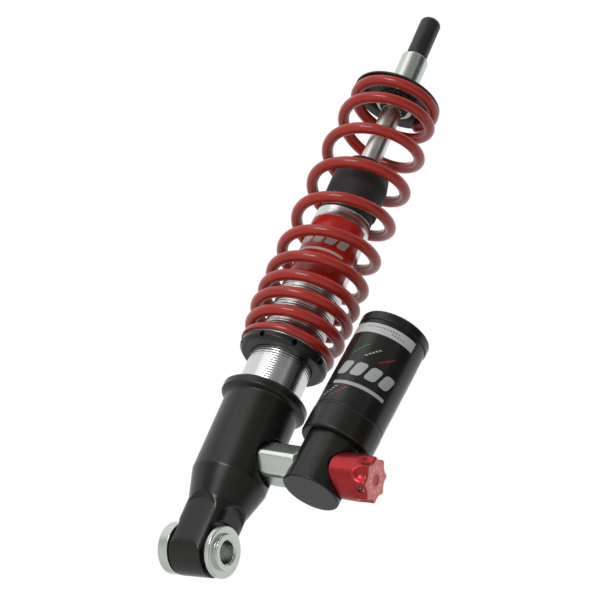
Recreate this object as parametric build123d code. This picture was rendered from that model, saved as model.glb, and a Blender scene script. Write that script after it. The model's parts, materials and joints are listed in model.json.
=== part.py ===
from build123d import *
from math import cos, hypot, radians, sin
import os

# Rear shock absorber, in millimetres. The origin is the centre of the lower eye's bore, +Z runs up the
# damper's axis to the top stud and +X runs along the eye's axis towards the reservoir. Everything is drawn
# at full extension, as the shock leaves its box.

# ---------------------------------------------------------------- driving dimensions
# lower eye
eye_bolt_radius = 6.0            # M12 bolt
eye_bore_chamfer = 0.9
eye_bush_outer = 8.0             # turns in the liner
eye_liner_outer = 10.0
eye_hub_radius = 9.9
eye_flange_radius = 13.9
eye_flange_inner_faces = (14.3, 10.8)    # near side, far side
eye_flange_outer_face = 17.2
eye_hub_face = 19.3              # half the width across the bushes
dust_seal_radius = 11.2
dust_seal_thickness = 1.2

# foot
tongue_half_thickness = 13.3     # along the eye's axis
tongue_half_width = 14.1         # across it
eye_boss_faces = (11.2, 9.6)     # along the eye's axis, near side and far side
spot_face_radius = 15.6
tongue_top = 25.2                # where the four milled flats run out
flat_cutter_radius = 12.0
neck_radius = 16.3
foot_radius = 21.0
taper_top = 42.0
flange_radius = 24.2
flange_bottom = 90.2
flange_rim = 91.6                # the underside slopes up to here
foot_top = 97.2
gallery_radius = 4.0             # oil drilling up the middle of the foot
cross_drilling_radius = 3.0      # oil drilling through the connector

# damper tube
tube_bottom = 73.0
tube_top = 213.5
thread_radius = 17.5             # M35 x 1.5
thread_top = 168.0
tube_upper_radius = 16.3
tube_bore = 14.5
label_bottom = 169.5
label_top = 209.5
label_arc = (-150.0, 8.0)        # degrees round the tube
label_thickness = 0.2

# seal head and bump stop
head_bottom = 190.0
head_top = 217.0
head_flange_radius = 16.1
guide_height = 14.0
guide_outer = 7.2
seal_height = 6.0
seal_outer = 9.6
wiper_height = 4.0
wiper_outer = 9.0
bump_stop_top = 255.4
bump_stop_radius = 16.3

# rod and what is on it
rod_radius = 6.0
stem_radius = 4.0                # M8, below the rod's lower shoulder
stem_bottom = 152.5
rod_shoulder = 178.0
stud_shoulder = 299.5
stud_radius = 5.0                # M10
stud_top = 361.0
piston_height = 12.0
pad_thickness = 1.5
pad_radius = 8.2
centring_radius = 11.0
plate_bottom = 304.2
plate_top = 305.6
plate_radius = 25.9
sleeve_radius = 8.0
sleeve_top = 335.5               # seat that meets the frame
cap_bottom = 337.6
cap_top = 364.8
cap_wall = 1.1

# spring and preload
wire_radius = 3.25
spring_turns = 10.875
spring_outer = 29.1              # middle coils
spring_end_outer = 26.2          # closed end coils
spring_azimuth = 132.0           # where the wire's lower tip points
lower_grind = 2.2                # what grinding takes off each end coil
upper_grind = 2.3
spring_gap = 0.1                 # under the spring plate
close_pitch = 11.5
wide_pitch = 24.6
last_pitch = 1.5                 # at the upper tip
lower_opening = (0.1, 0.74)      # turns over which the lower end coil opens
widening = (3.4, 6.45)           # turns over which close coils become wide ones
upper_closing = (8.7, 11.25)     # turns over which the upper end coil closes
lower_swell = (0.2, 2.2)         # turns over which the coils grow to full size
upper_swell = (8.4, 10.6)        # turns over which they shrink again
collar_bottom = 119.6
collar_rim_bottom = 121.4         # the underside slopes up to here
collar_rim_top = 124.6
collar_radius = 25.2
collar_bottom_radius = 23.4
washer_thickness = 1.0
washer_radius = 24.6
spanner_holes = 8
spanner_hole_radius = 1.55
spanner_hole_depth = 4.5

# reservoir group
reservoir_azimuth = 9.4          # the connector points this far round from the eye's axis
connector_height = 57.5
reservoir_offset = 50.5          # from the damper's axis, at the connector's height
lean_out = 4.4                   # the reservoir leans away from the spring
lean_side = 2.1
hexagon_flats = 21.0
hexagon_chamfer = 0.6            # along its six long edges
spigot_radius = 8.0              # round ends that enter the foot and the adjuster body
foot_pocket = 15.0               # pocket floor, from the damper's axis
foot_pocket_radius = 12.9        # round pocket one end of the hexagon sits in
body_pocket = 11.6               # pocket floor, from the reservoir's axis
body_pocket_radius = 11.8
body_radius = 16.15
body_bottom = -14.0
body_top = 16.2
base_radius = 20.0
base_top = 31.2
reservoir_radius = 19.5
reservoir_bore = 17.2
reservoir_top = 87.6
reservoir_cap_top = 93.3
side_label = (33.0, 77.4)        # its lower and upper edges
side_strip = (78.6, 84.8)
strip_arc = (-150.0, -18.5)      # degrees round the reservoir

# compression adjuster
knob_radius = 12.55
knob_base = 9.2                  # from the reservoir's axis
knob_face = 32.3
knob_flutes = 8
flute_radius = 6.0
flute_length = 9.0
flute_depth = 2.0
grub_flute_angle = 245.0

# fits
running_fit = 0.06               # radial, on rods and bores that slide or turn
thread_gap = 0.3                 # radial, between threads drawn as plain cylinders

os.makedirs("parts", exist_ok=True)


# ---------------------------------------------------------------- helpers
def save(node, shape):
    """Write one node of the part."""
    export_step(shape, "parts/" + node + ".step")


def rod(radius, bottom, top):
    """A solid cylinder up the Z axis."""
    return Pos(0, 0, bottom) * Cylinder(radius, top - bottom, align=(Align.CENTER, Align.CENTER, Align.MIN))


def ring(outer, inner, bottom, top):
    """A hollow cylinder up the Z axis."""
    return rod(outer, bottom, top) - rod(inner, bottom, top)


def turned(outline):
    """A solid turned about the Z axis from (radius, height) points."""
    face = make_face(Polyline(*[(radius, 0, height) for radius, height in outline], close=True))
    return revolve(face, Axis.Z)


def bevelled(outer, inner, bottom, top, bevel):
    """A hollow cylinder whose outer rims are bevelled."""
    return turned([(inner, bottom), (outer - bevel, bottom), (outer, bottom + bevel),
                   (outer, top - bevel), (outer - bevel, top), (inner, top)])


def o_ring(middle_radius, cord_radius, height):
    """A torus round the Z axis."""
    return Pos(0, 0, height) * Torus(middle_radius, cord_radius)


def wrap(radius, bottom, top, arc):
    """A label stuck to a cylinder, over an arc of (start, end) degrees."""
    section = Rot(90, 0, 0) * Rectangle(label_thickness, top - bottom)
    skin = revolve(Pos(radius + label_thickness / 2, 0, (bottom + top) / 2) * section, Axis.Z, arc[1] - arc[0])
    return Rot(0, 0, arc[0]) * skin


def along_x(shape):
    """Lay a shape that was made up the Z axis along +X."""
    return Rot(0, 90, 0) * shape


def smoothstep(value, start, end):
    share = min(max((value - start) / (end - start), 0.0), 1.0)
    return share * share * (3 - 2 * share)


# ---------------------------------------------------------------- frames of the reservoir group
outward = Vector(cos(radians(reservoir_azimuth)), sin(radians(reservoir_azimuth)), 0)
sideways = Vector(-outward.Y, outward.X, 0)
lean = (outward * sin(radians(lean_out)) + sideways * sin(radians(lean_side))
        + Vector(0, 0, cos(radians(hypot(lean_out, lean_side)))))
reservoir_origin = outward * reservoir_offset + Vector(0, 0, connector_height)

# local +Z of `cross` runs outward from the damper's axis, and its +Y is up
cross = Location(Plane(origin=(0, 0, connector_height), x_dir=sideways, z_dir=outward))
cross_at_reservoir = Location(Plane(origin=reservoir_origin, x_dir=sideways, z_dir=outward))
# local +Z of `standing` runs up the reservoir
standing = Location(Plane(origin=reservoir_origin, x_dir=outward, z_dir=lean))


# ---------------------------------------------------------------- lower eye
def eye_bush(side, boss_face, flange_face):
    """One flanged bush: hub, flange and the half of the sleeve that turns in the liner."""
    seal_face = boss_face + dust_seal_thickness
    bush = turned([
        (eye_bolt_radius, 0.1), (eye_bush_outer, 0.1), (eye_bush_outer, seal_face),
        (eye_hub_radius, seal_face), (eye_hub_radius, flange_face),
        (eye_flange_radius - 0.4, flange_face), (eye_flange_radius, flange_face + 0.4),
        (eye_flange_radius, eye_flange_outer_face - 0.6), (eye_flange_radius - 0.6, eye_flange_outer_face),
        (eye_hub_radius, eye_flange_outer_face), (eye_hub_radius, eye_hub_face - 0.4),
        (eye_hub_radius - 0.4, eye_hub_face), (eye_bolt_radius + eye_bore_chamfer, eye_hub_face),
        (eye_bolt_radius, eye_hub_face - eye_bore_chamfer)])
    return Rot(0, 90 * side, 0) * bush


def foot():
    """Flanged barrel, taper and milled tongue, with the bores for the tube, the liner and the connector."""
    body = turned([
        (0, -tongue_half_width), (neck_radius, -tongue_half_width), (neck_radius, tongue_top),
        (foot_radius, taper_top), (foot_radius, flange_bottom), (flange_radius, flange_rim),
        (flange_radius, foot_top - 1.8), (flange_radius - 1.8, foot_top), (0, foot_top)])

    # each flat runs out in an arch, as an end mill leaves it
    mill_depth = 10.0
    arch_centre = tongue_top - flat_cutter_radius
    mill = Pos(0, 0, arch_centre) * Box(mill_depth, 2 * flat_cutter_radius, 50,
                                        align=(Align.MIN, Align.CENTER, Align.MAX))
    arch = Pos(0, 0, arch_centre) * along_x(rod(flat_cutter_radius, 0, mill_depth))
    for angle, distance in ((0, tongue_half_thickness), (180, tongue_half_thickness),
                            (90, tongue_half_width), (270, tongue_half_width)):
        body -= Rot(0, 0, angle) * Pos(distance, 0, 0) * (mill + arch)

    # the tongue's end is round about the eye
    round_end = along_x(rod(tongue_half_width, -30, 30))
    end_block = Pos(0, 0, -20) * Box(60, 60, 40)
    body -= end_block - round_end

    # spot faces leave a narrower boss round the eye
    for angle, boss_face in zip((0, 180), eye_boss_faces):
        body -= Rot(0, 0, angle) * along_x(rod(spot_face_radius, boss_face, 30))

    body -= along_x(rod(eye_liner_outer, -30, 30))
    body -= rod(thread_radius, tube_bottom, foot_top)
    body -= rod(gallery_radius, connector_height - 8, tube_bottom)
    body -= cross * rod(foot_pocket_radius, foot_pocket, 40)
    body -= cross * rod(spigot_radius, 5.0, foot_pocket)
    body -= cross * rod(cross_drilling_radius, 0, 5.0)
    return body


save("foot", foot())
save("eye_liner", along_x(ring(eye_liner_outer, eye_bush_outer + running_fit,
                               -eye_boss_faces[1], eye_boss_faces[0])))
dust_seals = []
for name, side, boss_face, flange_face in zip(("eye_bush_near", "eye_bush_far"), (1, -1), eye_boss_faces,
                                              eye_flange_inner_faces):
    save(name, eye_bush(side, boss_face, flange_face))
    seal = bevelled(dust_seal_radius, eye_bush_outer + running_fit, boss_face,
                    boss_face + dust_seal_thickness - 0.1, 0.25)
    dust_seals.append(Rot(0, 90 * side, 0) * seal)
save("eye_dust_seals", Compound(children=dust_seals))


# ---------------------------------------------------------------- damper tube and seal head
tube = turned([
    (tube_bore, tube_bottom), (thread_radius, tube_bottom), (thread_radius, thread_top - 1.2),
    (tube_upper_radius, thread_top), (tube_upper_radius, tube_top), (tube_bore, tube_top)])
tube -= o_ring(thread_radius, 1.0, tube_bottom + 5)
save("damper_tube", tube)
save("tube_seal", o_ring(thread_radius - 0.5, 0.5, tube_bottom + 5))
save("body_label", wrap(tube_upper_radius, label_bottom, label_top, label_arc))

guide_top = head_bottom + guide_height
seal_pocket_top = guide_top + seal_height
wiper_bottom = head_top - wiper_height
head = turned([
    (guide_outer, head_bottom), (tube_bore, head_bottom), (tube_bore, tube_top), (head_flange_radius, tube_top),
    (head_flange_radius, head_top - 0.8), (head_flange_radius - 0.8, head_top), (wiper_outer, head_top),
    (wiper_outer, wiper_bottom), (rod_radius + 0.5, wiper_bottom), (rod_radius + 0.5, seal_pocket_top),
    (seal_outer, seal_pocket_top), (seal_outer, guide_top), (guide_outer, guide_top)])
head -= o_ring(tube_bore, 1.0, head_bottom + 8)
save("seal_head", head)
save("head_seal", o_ring(tube_bore - 0.5, 0.5, head_bottom + 8))
save("rod_guide", ring(guide_outer, rod_radius + running_fit, head_bottom, guide_top))
save("rod_seal", turned([
    (rod_radius + running_fit, guide_top), (seal_outer, guide_top), (seal_outer, seal_pocket_top),
    (rod_radius + running_fit, seal_pocket_top), (rod_radius + 1.2, seal_pocket_top - 2.2),
    (rod_radius + 1.2, guide_top + 2.2)]))
save("rod_wiper", turned([
    (rod_radius + 0.8, wiper_bottom), (wiper_outer, wiper_bottom), (wiper_outer, head_top - 0.3),
    (rod_radius + running_fit, head_top - 0.3), (rod_radius + running_fit, head_top - 0.9),
    (rod_radius + 0.8, head_top - 1.8)]))

stop_bottom = head_top + 0.2
save("bump_stop", turned([
    (rod_radius + 0.4, stop_bottom), (14.6, stop_bottom), (15.3, stop_bottom + 0.8), (15.3, stop_bottom + 4.2),
    (14.4, stop_bottom + 5.2), (bump_stop_radius, stop_bottom + 7.6), (bump_stop_radius, bump_stop_top - 13),
    (15.7, bump_stop_top - 9), (14.4, bump_stop_top - 4.5), (12.6, bump_stop_top - 1.2),
    (11.4, bump_stop_top), (rod_radius + 0.4, bump_stop_top)]))


# ---------------------------------------------------------------- rod, piston and top mount
save("piston_rod", turned([
    (0, stem_bottom), (stem_radius - 0.6, stem_bottom), (stem_radius, stem_bottom + 0.6),
    (stem_radius, rod_shoulder), (rod_radius, rod_shoulder), (rod_radius, stud_shoulder),
    (stud_radius, stud_shoulder), (stud_radius, stud_top - 1), (stud_radius - 1, stud_top), (0, stud_top)]))

stop_plate_bottom = rod_shoulder - 1.6
shim_thickness = 0.4
shim_radii = (9.5, 8.5, 7.5)
rebound_bottom = stop_plate_bottom - shim_thickness * len(shim_radii)
piston_bottom = rebound_bottom - piston_height
compression_bottom = piston_bottom - shim_thickness * len(shim_radii)
save("stop_plate", ring(7.5, stem_radius, stop_plate_bottom, rod_shoulder))
rebound_pack = [ring(radius, stem_radius, rebound_bottom + shim_thickness * step,
                     rebound_bottom + shim_thickness * (step + 1)) for step, radius in enumerate(shim_radii)]
compression_pack = [ring(radius, stem_radius, piston_bottom - shim_thickness * (step + 1),
                         piston_bottom - shim_thickness * step) for step, radius in enumerate(shim_radii)]
save("rebound_shims", Compound(children=rebound_pack))
save("compression_shims", Compound(children=compression_pack))

piston_radius = tube_bore - 0.45
band_bottom = piston_bottom + 3.5
band_top = band_bottom + 5
piston = ring(piston_radius, stem_radius, piston_bottom, rebound_bottom)
piston -= ring(piston_radius + 1, piston_radius - 1.2, band_bottom, band_top)
for port in range(6):
    piston -= Rot(0, 0, 60 * port) * Pos(10.6, 0, 0) * rod(1.3, piston_bottom, rebound_bottom)
save("piston", piston)
save("piston_band", ring(tube_bore - running_fit, piston_radius - 1.2, band_bottom, band_top))
nut_blank = extrude(Pos(0, 0, compression_bottom - 6.5) * RegularPolygon(6.5, 6, major_radius=False), 6.5)
save("piston_nut", nut_blank - rod(stem_radius, compression_bottom - 6.5, compression_bottom))
save("top_out_bumper", bevelled(10.0, rod_radius, rod_shoulder, head_bottom - 0.4, 1.2))

save("bump_pad", bevelled(pad_radius, rod_radius, stud_shoulder - pad_thickness, stud_shoulder, 0.4))
save("centring_ring", bevelled(centring_radius, stud_radius, stud_shoulder, plate_bottom, 0.4))
save("spring_plate", bevelled(plate_radius, stud_radius, plate_bottom, plate_top, 0.6))
save("stud_sleeve", bevelled(sleeve_radius, stud_radius, plate_top, sleeve_top, 0.6))

cap_outer = stud_radius + running_fit + cap_wall
cap = rod(cap_outer, cap_bottom, cap_top)
cap = fillet(cap.faces().sort_by(Axis.Z)[-1].edges(), 3.6)
cap -= rod(stud_radius + running_fit, cap_bottom, stud_top + 0.5)
save("thread_cap", cap)


# ---------------------------------------------------------------- spring and preload
washer_top = collar_rim_top + washer_thickness
spring_bottom = washer_top + wire_radius - lower_grind
spring_top = plate_bottom - wire_radius + upper_grind


def local_pitch(turn):
    """Closed at both ends, close wound low down, open above."""
    pitch = close_pitch * smoothstep(turn, *lower_opening)
    pitch += (wide_pitch - close_pitch) * smoothstep(turn, *widening)
    pitch -= (wide_pitch - last_pitch) * smoothstep(turn, *upper_closing)
    return pitch


def spring_points(steps_per_turn):
    """Points down the middle of the wire, from the lower tip to the upper one."""
    steps = int(spring_turns * steps_per_turn)
    heights = [0.0]
    for step in range(steps):
        heights.append(heights[-1] + local_pitch((step + 0.5) / steps_per_turn) / steps_per_turn)
    stretch = (spring_top - spring_bottom) / heights[-1]
    points = []
    for step, height in enumerate(heights):
        turn = step / steps_per_turn
        swell = smoothstep(turn, *lower_swell) * (1 - smoothstep(turn, *upper_swell))
        radius = spring_end_outer - wire_radius + (spring_outer - spring_end_outer) * swell
        angle = radians(spring_azimuth + 360 * turn)
        points.append((radius * cos(angle), radius * sin(angle), spring_bottom + height * stretch))
    return points


wire_path = Spline(*spring_points(16))
wire_section = Plane(origin=wire_path @ 0, z_dir=wire_path % 0) * Circle(wire_radius)
wire = sweep(wire_section, path=wire_path, is_frenet=True)
save("main_spring", wire & rod(spring_outer + 5, washer_top, plate_bottom - spring_gap))

save("thrust_washer", ring(washer_radius, thread_radius + 0.8, collar_rim_top, washer_top))


def preload_collar():
    """A flat ring on the tube's thread, with holes round its rim for a pin spanner."""
    bore = thread_radius + thread_gap
    collar = turned([
        (bore, collar_bottom), (collar_bottom_radius, collar_bottom), (collar_radius, collar_rim_bottom),
        (collar_radius, collar_rim_top - 0.5), (collar_radius - 0.5, collar_rim_top), (bore, collar_rim_top)])
    hole = along_x(rod(spanner_hole_radius, collar_radius - spanner_hole_depth, collar_radius + 1))
    for step in range(spanner_holes):
        angle = 2 + 360 / spanner_holes * step
        collar -= Rot(0, 0, angle) * Pos(0, 0, (collar_bottom + collar_rim_top) / 2) * hole
    return collar


save("preload_collar", preload_collar())


# ---------------------------------------------------------------- connector
hexagon_start = foot_pocket
hexagon_end = reservoir_offset - body_pocket
seal_depth = 1.2
hexagon_face = Pos(0, 0, hexagon_start) * RegularPolygon(hexagon_flats / 2, 6, major_radius=False)
hexagon = extrude(hexagon_face, hexagon_end - hexagon_start)
hexagon = chamfer(hexagon.edges().filter_by(Axis.Z), hexagon_chamfer)
hexagon = hexagon & bevelled(hexagon_flats / 2 + 1.0, 0, hexagon_start, hexagon_end, 1.4)
hexagon += rod(spigot_radius, hexagon_start - 5, hexagon_end + 4)
hexagon -= rod(cross_drilling_radius, 0, reservoir_offset)
seal_places = ((hexagon_start, hexagon_start + seal_depth), (hexagon_end - seal_depth, hexagon_end))
for bottom, top in seal_places:
    hexagon -= ring(10.0, 8.8, bottom, top)
save("connector", cross * hexagon)
save("connector_seals", Compound(children=[cross * ring(9.9, 8.9, bottom, top) for bottom, top in seal_places]))


# ---------------------------------------------------------------- adjuster body
needle_radius = 3.0
needle_tip = 3.2                 # from the reservoir's axis
needle_bore = needle_radius + running_fit
seat_radius = 4.5
seat_inner = -4.0
seat_outer = 2.6
detent_radius = 8.2              # of the ring of detents, about the knob's axis

body_spigot_radius = 15.0
body_spigot_top = body_top + 9
body = bevelled(body_radius, 0, body_bottom, body_top, 0.7)
body += rod(body_spigot_radius, body_top, body_spigot_top)
body -= rod(3.0, -1.0, body_spigot_top)
body = standing * body
body -= cross_at_reservoir * rod(body_pocket_radius, -30, -body_pocket)
body -= cross_at_reservoir * rod(spigot_radius, -body_pocket, -body_pocket + 4)
body -= cross_at_reservoir * rod(cross_drilling_radius, -body_pocket, seat_inner)
body -= cross_at_reservoir * rod(seat_radius, seat_inner, seat_outer)
body -= cross_at_reservoir * rod(needle_bore, 0, knob_base)
body -= cross_at_reservoir * rod(knob_radius + 0.4, knob_base - 0.3, 30)
body -= cross_at_reservoir * Pos(detent_radius, 0, 0) * rod(1.6, knob_base - 6.3, knob_base)
save("adjuster_body", body)
save("needle_seat", cross_at_reservoir * ring(seat_radius, 1.6, seat_inner, seat_outer))
detent_ball_centre = knob_base - 0.7
save("detent_ball", cross_at_reservoir * Pos(detent_radius, 0, detent_ball_centre) * Sphere(1.4))
save("detent_spring", cross_at_reservoir * Pos(detent_radius, 0, 0)
     * rod(1.2, knob_base - 6.3, detent_ball_centre - 1.5))

seal_seat = 5.5
plug_bottom = knob_face - 1.6
needle_top = plug_bottom - 1.6    # room for its travel under the knob's end
needle = turned([
    (0, needle_tip - 2.6), (1.2, needle_tip), (needle_radius, needle_tip + 1.4), (needle_radius, seal_seat),
    (needle_radius - 0.8, seal_seat), (needle_radius - 0.8, seal_seat + 1.4),
    (needle_radius, seal_seat + 1.4), (needle_radius, needle_top), (0, needle_top)])
save("adjuster_needle", cross_at_reservoir * needle)
save("needle_seal", cross_at_reservoir * ring(needle_radius, needle_radius - 0.75,
                                             seal_seat + 0.1, seal_seat + 1.3))


# ---------------------------------------------------------------- reservoir
spigot_depth = 6.0
base = turned([
    (body_spigot_radius, body_top), (base_radius - 0.9, body_top), (base_radius, body_top + 0.9),
    (base_radius, base_top - 0.6), (base_radius - 0.6, base_top), (reservoir_bore, base_top),
    (reservoir_bore, base_top + spigot_depth),
    (12.0, base_top + spigot_depth), (12.0, body_spigot_top), (body_spigot_radius, body_spigot_top)])
base -= ring(reservoir_bore + 1, reservoir_bore - 1.2, base_top + 2, base_top + 3.8)
save("reservoir_base", standing * base)
save("reservoir_tube", standing * ring(reservoir_radius, reservoir_bore, base_top, reservoir_top))

recess_floor = reservoir_cap_top - 4.0
reservoir_end = turned([
    (4.0, reservoir_top - spigot_depth), (reservoir_bore, reservoir_top - spigot_depth),
    (reservoir_bore, reservoir_top), (base_radius - 0.4, reservoir_top), (base_radius, reservoir_top + 0.4),
    (base_radius, reservoir_cap_top - 1.2), (base_radius - 1.2, reservoir_cap_top),
    (13.4, reservoir_cap_top), (13.0, reservoir_cap_top - 0.4), (13.0, recess_floor), (4.0, recess_floor)])
lower_groove = (base_top + 2, base_top + 3.8)
upper_groove = (reservoir_top - 3.8, reservoir_top - 2)
reservoir_end -= ring(reservoir_bore + 1, reservoir_bore - 1.2, *upper_groove)
save("reservoir_cap", standing * reservoir_end)
save("reservoir_seals", Compound(children=[
    standing * ring(reservoir_bore - 0.02, reservoir_bore - 1.15, bottom + 0.1, top - 0.1)
    for bottom, top in (lower_groove, upper_groove)]))

valve_top = recess_floor + 4.0
valve = rod(4.0, reservoir_top - spigot_depth, recess_floor) + rod(3.0, recess_floor, valve_top)
valve -= rod(1.2, reservoir_top - spigot_depth, valve_top)
save("gas_valve", standing * valve)
valve_cap = bevelled(4.6, 3.3, recess_floor + 0.3, valve_top + 1.6, 0.4)
valve_cap += rod(3.4, valve_top + 0.4, valve_top + 1.6)
save("gas_valve_cap", standing * valve_cap)

save("reservoir_label", standing * ring(reservoir_radius + label_thickness, reservoir_radius, *side_label))
save("reservoir_strip", standing * wrap(reservoir_radius, *side_strip, strip_arc))

floating_bottom = 44.0
floating_top = 58.0
floating_radius = reservoir_bore - 0.35
floating = turned([
    (0, floating_bottom), (floating_radius, floating_bottom), (floating_radius, floating_top),
    (floating_radius - 3, floating_top), (floating_radius - 3, floating_bottom + 4), (0, floating_bottom + 4)])
floating -= ring(floating_radius + 1, floating_radius - 1.6, floating_bottom + 1.4, floating_bottom + 3.2)
floating -= ring(floating_radius + 1, floating_radius - 1.0, floating_top - 7, floating_top - 2)
save("floating_piston", standing * floating)
save("floating_seal", standing * ring(reservoir_bore - running_fit, floating_radius - 1.6,
                                      floating_bottom + 1.4, floating_bottom + 3.2))
save("floating_band", standing * ring(reservoir_bore - running_fit, floating_radius - 1.0,
                                      floating_top - 7, floating_top - 2))


# ---------------------------------------------------------------- adjuster knob
knob = bevelled(knob_radius, needle_bore, knob_base, knob_face, 1.0)
knob += rod(needle_bore + 0.5, plug_bottom, knob_face - 0.4)
knob -= o_ring(detent_radius, 1.6, knob_base - 0.7)
flute_centre = knob_radius + flute_radius - flute_depth
flute_start = knob_face - flute_length
flute = Pos(flute_centre, 0, 0) * (rod(flute_radius, flute_start + flute_radius, knob_face + 1)
                                   + Pos(0, 0, flute_start + flute_radius) * Sphere(flute_radius))
for step in range(knob_flutes):
    knob -= Rot(0, 0, grub_flute_angle + 360 / knob_flutes * step) * flute
grub_radius = 1.8
grub_end = 9.7                   # from the knob's axis
grub_place = Rot(0, 0, grub_flute_angle) * Pos(0, 0, knob_face - 3.4)
knob -= grub_place * along_x(rod(grub_radius, needle_bore, knob_radius))
save("adjuster_knob", cross_at_reservoir * knob)
grub = rod(grub_radius, needle_bore + 0.2, grub_end) - rod(0.9, grub_end - 2, grub_end)
save("knob_grub_screw", cross_at_reservoir * grub_place * along_x(grub))
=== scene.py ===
import bmesh
import bpy
import json
import numpy as np
from math import acos, atan2, cos, hypot, pi, radians, sin, tan
from mathutils import Matrix, Quaternion, Vector


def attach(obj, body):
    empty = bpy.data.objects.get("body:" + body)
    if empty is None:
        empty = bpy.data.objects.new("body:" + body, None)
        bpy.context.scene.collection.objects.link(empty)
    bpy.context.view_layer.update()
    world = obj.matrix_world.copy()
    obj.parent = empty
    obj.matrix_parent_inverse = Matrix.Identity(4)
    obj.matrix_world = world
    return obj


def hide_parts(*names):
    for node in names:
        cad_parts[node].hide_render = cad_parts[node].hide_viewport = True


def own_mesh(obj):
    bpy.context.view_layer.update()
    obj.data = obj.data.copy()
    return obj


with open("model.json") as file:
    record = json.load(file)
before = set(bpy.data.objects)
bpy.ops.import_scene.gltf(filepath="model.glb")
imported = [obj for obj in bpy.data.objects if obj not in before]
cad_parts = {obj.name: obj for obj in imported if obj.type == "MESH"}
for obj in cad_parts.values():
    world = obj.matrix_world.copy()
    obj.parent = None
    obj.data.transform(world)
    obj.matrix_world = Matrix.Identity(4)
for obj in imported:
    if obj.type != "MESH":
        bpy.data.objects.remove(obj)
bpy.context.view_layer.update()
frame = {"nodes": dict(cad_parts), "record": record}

# Rear shock absorber, in the CAD model's frame: the origin is the centre of the lower eye, +Z runs up the
# damper and +X runs along the eye towards the reservoir. Dimensions are in millimetres unless they say
# otherwise, and a mesh turns them into metres when it is made.

MM = 0.001

# ---------------------------------------------------------------- dimensions
past_axis = -30.0                # a solid outline's inner corners lie beyond the axis
thread_step = 0.16               # between the points along a thread

# lower eye and foot
eye_bolt_radius = 6.0
eye_bush_outer = 8.0
eye_liner_outer = 10.0
eye_hub_radius = 9.9
eye_flange_radius = 13.9
eye_flange_inner_faces = (14.3, 10.8)    # near side, far side
eye_flange_outer_face = 17.2
eye_hub_face = 19.3
dust_seal_radius = 11.2
dust_seal_thickness = 1.2
dust_seal_clearance = 0.06
tongue_half_thickness = 13.3
tongue_half_width = 14.1
eye_boss_faces = (11.2, 9.6)             # near side, far side
spot_face_radius = 15.6
tongue_top = 25.2
flat_cutter_radius = 12.0
neck_radius = 16.3
foot_radius = 21.0
taper_top = 42.0
flange_radius = 24.2
flange_bottom = 90.2
flange_rim = 91.6
foot_top = 97.2

# damper tube, seal head and bump stop
tube_bottom = 73.0
tube_top = 213.5
tube_thread_radius = 17.5
tube_thread_top = 168.0
tube_thread_pitch = 1.5
tube_upper_radius = 16.3
tube_bore = 14.5
tube_thread_depth = 0.06         # only enough to catch the light
label_bottom = 169.5
label_top = 209.5
label_arc = (-150.0, 8.0)
label_thickness = 0.2
label_edge = 0.08
head_bottom = 190.0
head_bore = 7.2
head_flange_radius = 16.1
head_top = 217.0
guide_radius = 9.6               # pocket for the rod guide
guide_bottom = 204.0
guide_top = 210.0
rod_hole_radius = 6.5            # through the head, above the guide
wiper_outer = 9.0
wiper_depth = 4.0
bump_stop_radius = 16.3
bump_stop_bottom = 217.2
bump_stop_top = 255.4
bump_stop_bore = 6.4
bump_stop_lip_radius = 15.3

# rod and top mount
rod_radius = 6.0
stem_radius = 4.0
stem_bottom = 152.5
rod_shoulder = 178.0
stud_shoulder = 299.5
stud_radius = 5.0
stud_thread_bottom = 336.5
stud_thread_pitch = 1.25
stud_thread_depth = 0.55
stud_top = 361.0
centring_radius = 11.0
pad_radius = 8.2
pad_bottom = 298.0
plate_bottom = 304.2
plate_top = 305.6
plate_radius = 25.9
sleeve_radius = 8.0
sleeve_top = 335.5
cap_outer = 6.16
cap_inner = 5.06
cap_bottom = 337.6
cap_top = 364.8

# spring and preload
wire_radius = 3.25
spring_turns = 10.875
spring_outer = 29.1
spring_end_outer = 26.2
spring_azimuth = 132.0
lower_grind = 2.2
upper_grind = 2.3
spring_gap = 0.1
close_pitch = 11.5
wide_pitch = 24.6
last_pitch = 1.5
lower_opening = (0.1, 0.74)
widening = (3.4, 6.45)
upper_closing = (8.7, 11.25)
lower_swell = (0.2, 2.2)
upper_swell = (8.4, 10.6)
collar_bottom = 119.6
collar_rim_bottom = 121.4
collar_rim_top = 124.6
collar_radius = 25.2
collar_bottom_radius = 23.4
collar_bore = 17.8
washer_top = collar_rim_top + 1.0
washer_radius = 24.6
spanner_holes = 8
spanner_hole_radius = 1.55
spanner_hole_depth = 4.5
spanner_hole_start = 2.0

# reservoir group, with heights up the reservoir from the connector's axis
reservoir_azimuth = 9.4
connector_height = 57.5
reservoir_offset = 50.5
lean_out = 4.4
lean_side = 2.1
hexagon_flats = 21.0
hexagon_corner_cut = 0.3
hexagon_bevel = 1.4              # along the hexagon, at both ends
cross_drilling_radius = 3.0
foot_spigot = 5.0                # past the hexagon's end
body_spigot = 4.0                # past its other end
spigot_radius = 8.0
foot_pocket = 15.0
foot_pocket_radius = 12.9
body_pocket = 11.6
body_pocket_radius = 11.8
body_radius = 16.15
body_bottom = -14.0
body_top = 16.2
base_radius = 20.0
base_top = 31.2
reservoir_radius = 19.5
reservoir_bore = 17.2
reservoir_top = 87.6
reservoir_cap_top = 93.3
base_spigot_radius = 15.0
body_spigot_top = body_top + 9.0
base_bore = 12.0
reservoir_insert = 6.0           # how far the base and the cap reach into the tube
cap_recess_radius = 13.0
cap_recess_depth = 4.0
gas_valve_hole = 4.0
valve_cap_bore = 3.3
valve_cap_radius = 4.6
valve_cap_ridges = 28
valve_cap_ridge_depth = 0.14
side_label = (33.0, 77.4)
side_strip = (78.6, 84.8)
strip_arc = (-150.0, -18.5)

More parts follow.
